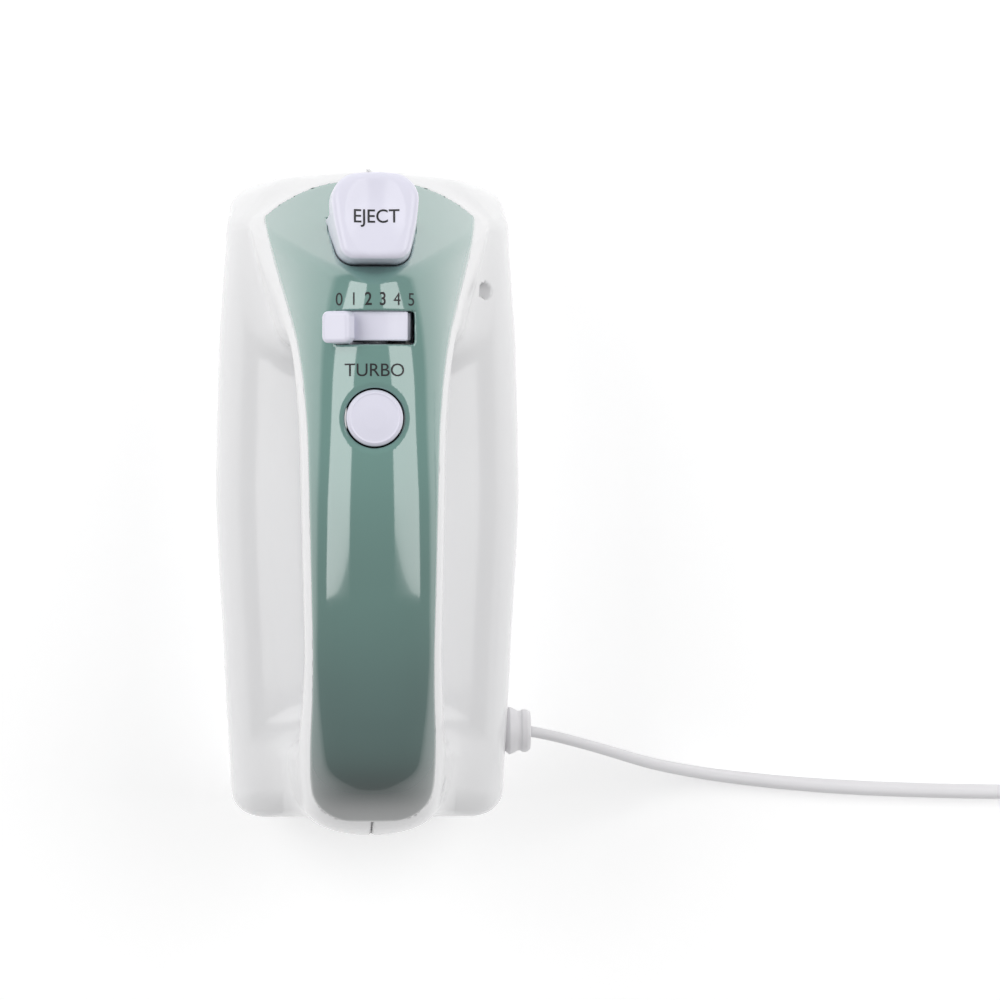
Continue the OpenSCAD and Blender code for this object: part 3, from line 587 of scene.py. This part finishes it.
def lathe(name, profile, centre, axis, body_name, slot, replaces=None, sides=96, finish=None):
    """A turned piece: profile is (radius, height) pairs in millimetres, round an axis."""
    verts, faces = [], []
    turn = Vector((0, 0, 1)).rotation_difference(Vector(axis))
    n = len(profile)
    for k in range(sides):
        a = 2 * math.pi * k / sides
        for r, h in profile:
            p = turn @ Vector((r * math.cos(a), r * math.sin(a), h)) + Vector(centre)
            verts.append(p * MM)
    for k in range(sides):
        for i in range(n - 1):
            a, b = k * n + i, ((k + 1) % sides) * n + i
            faces.append((a, b, b + 1, a + 1))
    mesh = bpy.data.meshes.new(name)
    mesh.from_pydata(verts, [], faces)
    mesh.polygons.foreach_set("use_smooth", [True] * len(faces))
    piece = bpy.data.objects.new(name, mesh)
    scene.collection.objects.link(piece)
    weld = piece.modifiers.new("weld", "WELD")
    weld.merge_threshold = 1e-6
    return dress(piece, body_name, slot, replaces, finish)


def rounded(corners, r=0.4, steps=4):
    """A (radius, height) profile with its inner corners rounded."""
    out = [corners[0]]
    for a, b, c in zip(corners, corners[1:], corners[2:]):
        a, b, c = (np.array(p, float) for p in (a, b, c))
        u, v = a - b, c - b
        reach = min(r, 0.45 * np.linalg.norm(u), 0.45 * np.linalg.norm(v))
        u, v = b + u / np.linalg.norm(u) * reach, b + v / np.linalg.norm(v) * reach
        for t in np.linspace(0, 1, steps + 1):
            out.append(tuple((1 - t) ** 2 * u + 2 * t * (1 - t) * b + t * t * v))
    return out + [corners[-1]]


turbo_profile = rounded([(0, 112.6), (2.2, 112.6), (2.2, 118.2), (7.5, 118.2), (7.5, 127.3),
                         (6.6, 128.2), (6.2, 128.0), (3, 128.45), (0, 128.55)], 0.5)
lathe("turbo_cap", turbo_profile, (0, TURBO_Y, 0), (0, 0, 1), "turbo", "button_plastic",
      ["turbo_button"])

# ---------------------------------------------------------------- printed marks


def height_of(field, x, y, top):
    """Height of the highest crossing of a field above each plan point."""
    z = np.full(len(x), float(top))
    for _ in range(60):
        z -= field(x, y, z) * 0.9
    return z


PRINT_LIFT, PRINT_DEPTH = 0.07, 0.12


def mark(name, words, x, y, size, body_name, slot, field, top, bold=0.0, stretch=1.0):
    """Printed characters, centred on a plan point and laid on a piece's surface."""
    data = bpy.data.curves.new(name, "FONT")
    data.body = words
    data.size = size
    data.align_x = "CENTER"
    data.align_y = "CENTER"
    data.extrude = PRINT_DEPTH
    data.offset = bold
    text = bpy.data.objects.new(name + "_text", data)
    scene.collection.objects.link(text)
    bpy.context.view_layer.update()
    graph = bpy.context.evaluated_depsgraph_get()
    mesh = bpy.data.meshes.new_from_object(text.evaluated_get(graph))
    bpy.data.objects.remove(text)
    co = np.zeros(len(mesh.vertices) * 3)
    mesh.vertices.foreach_get("co", co)
    co = co.reshape(-1, 3)
    co[:, 0] = co[:, 0] * stretch + x
    co[:, 1] += y
    co[:, 2] += height_of(field, co[:, 0], co[:, 1], top) + PRINT_LIFT - PRINT_DEPTH
    mesh.vertices.foreach_set("co", (co * MM).ravel())
    piece = bpy.data.objects.new(name, mesh)
    return dress(piece, body_name, slot, None, "print")


DIAL_X, DIAL_STEP, DIAL_Y = -9.35, 3.83, 51.4

for k in range(6):
    mark(f"dial_{k}", str(k), DIAL_X + DIAL_STEP * k, DIAL_Y, 4.9, "housing", "green_plastic",
         cover, 130, 0.06 if k in (2, 3) else 0.0, 0.82)
mark("turbo_word", "TURBO", 0, 32.6, 4.85, "housing", "green_plastic", cover, 131)
mark("eject_word", "EJECT", 0.2, 72.7, 5.1, "eject", "button_plastic",
     lambda x, y, z: z - eject_top(x, y), 140, 0.03, 0.94)

# ---------------------------------------------------------------- mains lead

bush_profile = rounded([(2.75, 46.6), (2.75, 24), (4.2, 24), (4.4, 30), (5, 34), (5, 38.6),
                        (6.9, 40.6), (6.2, 42.2), (5.7, 43), (5.7, 43.8), (6.1, 44.2), (6.1, 45.6),
                        (5.4, 46.6), (2.75, 46.6)], 0.35)
lathe("lead_bush", bush_profile, BUSH, (1, 0, 0), "housing", "lead_pvc", ["cord_bush"])

CORD_WIDE = 5.2
CORD_THICK = 3.0
ROUTE = [(46, -67.6, 37), (50, -68.3, 37), (55, -69.5, 36), (61, -71.2, 33.6), (67, -73, 29.8),
         (73, -75, 25.2), (79, -77, 20.4), (85, -78.8, 15.6), (91, -80.2, 11), (98, -81.7, 6.6),
         (105, -82.9, 3.8), (113, -83.9, 2.7), (123, -85, 2.7), (135, -86, 2.7), (150, -86.9, 2.7),
         (168, -87.6, 2.7), (186, -88, 2.7), (206, -88, 2.7), (225, -88, 2.7)]
COIL = (240.0, -54.0)
COIL_TURNS = 5.25
POINTS_PER_TURN = 72
coil = []
for k in range(int(COIL_TURNS * POINTS_PER_TURN) + 1):
    t = k / (COIL_TURNS * POINTS_PER_TURN)
    share = abs(2 * t - 1)
    radius = 24.0 + 10.1 * share
    layer = 2.7 + 5.3 * float(step(np.array((t - 0.46) / 0.08)))
    angle = -math.pi / 2 + 2 * math.pi * COIL_TURNS * t
    coil.append((COIL[0] + radius * math.cos(angle), COIL[1] + radius * math.sin(angle), layer))
PLUG = (274.0, -18.0, 7.0)
LEAD = [(274, -44, 7.9), (274, -36, 7.7), (274, -28, 7.3), (274, -20, 7), (274, -14, 7)]
centreline = ROUTE + coil + LEAD


LINE_STEP = 1.2


def evenly(points, gap=LINE_STEP):
    """The points of a smooth line through a route, a fixed distance apart."""
    p = np.array(points, float)
    along = np.concatenate([[0], np.cumsum(np.linalg.norm(np.diff(p, axis=0), axis=1))])
    s = np.arange(0, along[-1], gap)
    q = np.stack([np.interp(s, along, p[:, k]) for k in range(3)], 1)
    for _ in range(14):
        q[1:-1] = q[1:-1] * 0.5 + (q[:-2] + q[2:]) * 0.25
    return q


def sweep(name, points, section, roll):
    """A tube along a line, with a closed section that rolls round the line as it goes."""
    n = len(section)
    verts, faces = [], []
    for i, p in enumerate(points):
        ahead = Vector(points[min(i + 1, len(points) - 1)] - points[max(i - 1, 0)]).normalized()
        side = ahead.cross(Vector((0, 0, 1))).normalized()
        top = side.cross(ahead)
        c, s = math.cos(roll[i]), math.sin(roll[i])
        for u, v in section:
            q = Vector(p) + side * (u * c - v * s) + top * (u * s + v * c)
            verts.append(q * MM)
    for i in range(len(points) - 1):
        for k in range(n):
            m = (k + 1) % n
            faces.append((i * n + k, (i + 1) * n + k, (i + 1) * n + m, i * n + m))
    faces.append(tuple(range(n)))
    faces.append(tuple(range((len(points) - 1) * n + n - 1, (len(points) - 1) * n - 1, -1)))
    mesh = bpy.data.meshes.new(name)
    mesh.from_pydata(verts, [], faces)
    mesh.polygons.foreach_set("use_smooth", [len(f) == 4 for f in faces])
    piece = bpy.data.objects.new(name, mesh)
    scene.collection.objects.link(piece)
    return piece


core_r = CORD_THICK / 2
core_x = CORD_WIDE / 2 - core_r
section = []
for side_sign in (1, -1):
    for k in range(9):
        a = math.radians(-112 + 28 * k)
        section.append((side_sign * (core_x + core_r * math.cos(a)),
                        side_sign * core_r * math.sin(a)))
line = evenly(centreline)
travel = np.arange(len(line)) * LINE_STEP
roll = np.radians(90 - 35 * step((travel - 10) / 110) + 35 * step((travel - 150) / 60))
lead = sweep("mains_lead", line, section, roll)
dress(lead, "housing", "lead_pvc", ["cord", "cord_coil", "plug_lead"])

plug_half = curve([(-22, 4.4), (-14, 5.2), (-6, 9.0), (2, 12.2), (8, 12.9), (18, 12.9)], 3)
plug_thick = curve([(-22, 4.0), (-14, 4.6), (-6, 5.8), (2, 6.8), (18, 6.9)], 3)


def plug_field(x, y, z):
    u, v = np.abs(x - PLUG[0]), np.abs(z - PLUG[2])
    form = egg(u, v, plug_half(y), plug_thick(y), 3.4)
    groove = 0.45 * (0.5 + 0.5 * np.cos(2 * np.pi * (y + 6) / 4)) * step((9 - np.abs(y - 1)) / 2)
    form = rmax(form + groove * step((u - 4) / 4), y - 18, 1.2)
    form = rmax(form, -18 - y, 0.6)
    return np.maximum(form, -np.maximum(np.hypot(u, z - PLUG[2]) - 2.9, y + 12))


plug = moulding("mains_plug", "housing", "lead_pvc", plug_field, (260, -19, -0.5), (288, 19, 14.5),
                0.6 * QUALITY, ["plug_body"])
for side_name, sx in (("left", -9.5), ("right", 9.5)):
    at = (PLUG[0] + sx, 18, PLUG[2])
    pin = rounded([(0, -3), (1.85, -3), (1.85, 9.5), (2.0, 9.8), (2.0, 18), (1.2, 19),
                   (0, 19)], 0.4)
    lathe(side_name + "_plug_pin", pin, at, (0, 1, 0), "housing", "plated_pin",
                            ["plug_pins"], 48)
    lathe(side_name + "_pin_sleeve", [(2.0, 0.0), (2.0, 9.7), (1.86, 9.8),
                                                        (1.86, 0.0), (2.0, 0.0)], at, (0, 1, 0),
                            "housing", "lead_pvc", None, 48)

# ---------------------------------------------------------------- floor and light

floor_mesh = bpy.data.meshes.new("floor")
floor_mesh.from_pydata([(-6, -6, 0), (6, -6, 0), (6, 6, 0), (-6, 6, 0)], [], [(0, 1, 2, 3)])
floor_mesh.materials.append(FINISH["floor"])
floor = bpy.data.objects.new("floor", floor_mesh)
scene.collection.objects.link(floor)
floor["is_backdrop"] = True


def softbox(name, place, target, width, depth, power):
    data = bpy.data.lights.new(name, "AREA")
    data.shape = "RECTANGLE"
    data.size, data.size_y, data.energy = width, depth, power
    lamp = bpy.data.objects.new(name, data)
    lamp.location = place
    aim = Vector(target) - Vector(place)
    lamp.rotation_euler = aim.to_track_quat("-Z", "Y").to_euler()
    scene.collection.objects.link(lamp)


softbox("left_softbox", (-0.83, 0.36, 0.86), (0, 0.36, 0.12), 1.10, 0.84, 6.7)
softbox("right_softbox", (0.80, 0.36, 0.92), (0, 0.36, 0.12), 1.10, 0.92, 6.7)
softbox("front_softbox", (0.0, 1.5, 0.7), (0, 0, 0.08), 1.6, 0.8, 1.5)

world = bpy.data.worlds.new("studio")
world.use_nodes = True
world.node_tree.nodes["Background"].inputs["Color"].default_value = (1.0, 1.0, 1.0, 1.0)
world.node_tree.nodes["Background"].inputs["Strength"].default_value = 0.34
scene.world = world
scene.view_settings.view_transform = "Standard"

# ---------------------------------------------------------------- size

box_low, box_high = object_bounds()
boxes = {"cad_box": [rest_low, rest_high], "visual_box": [box_low, box_high]}
{k: [[float(v) for v in corner] for corner in b] for k, b in boxes.items()}
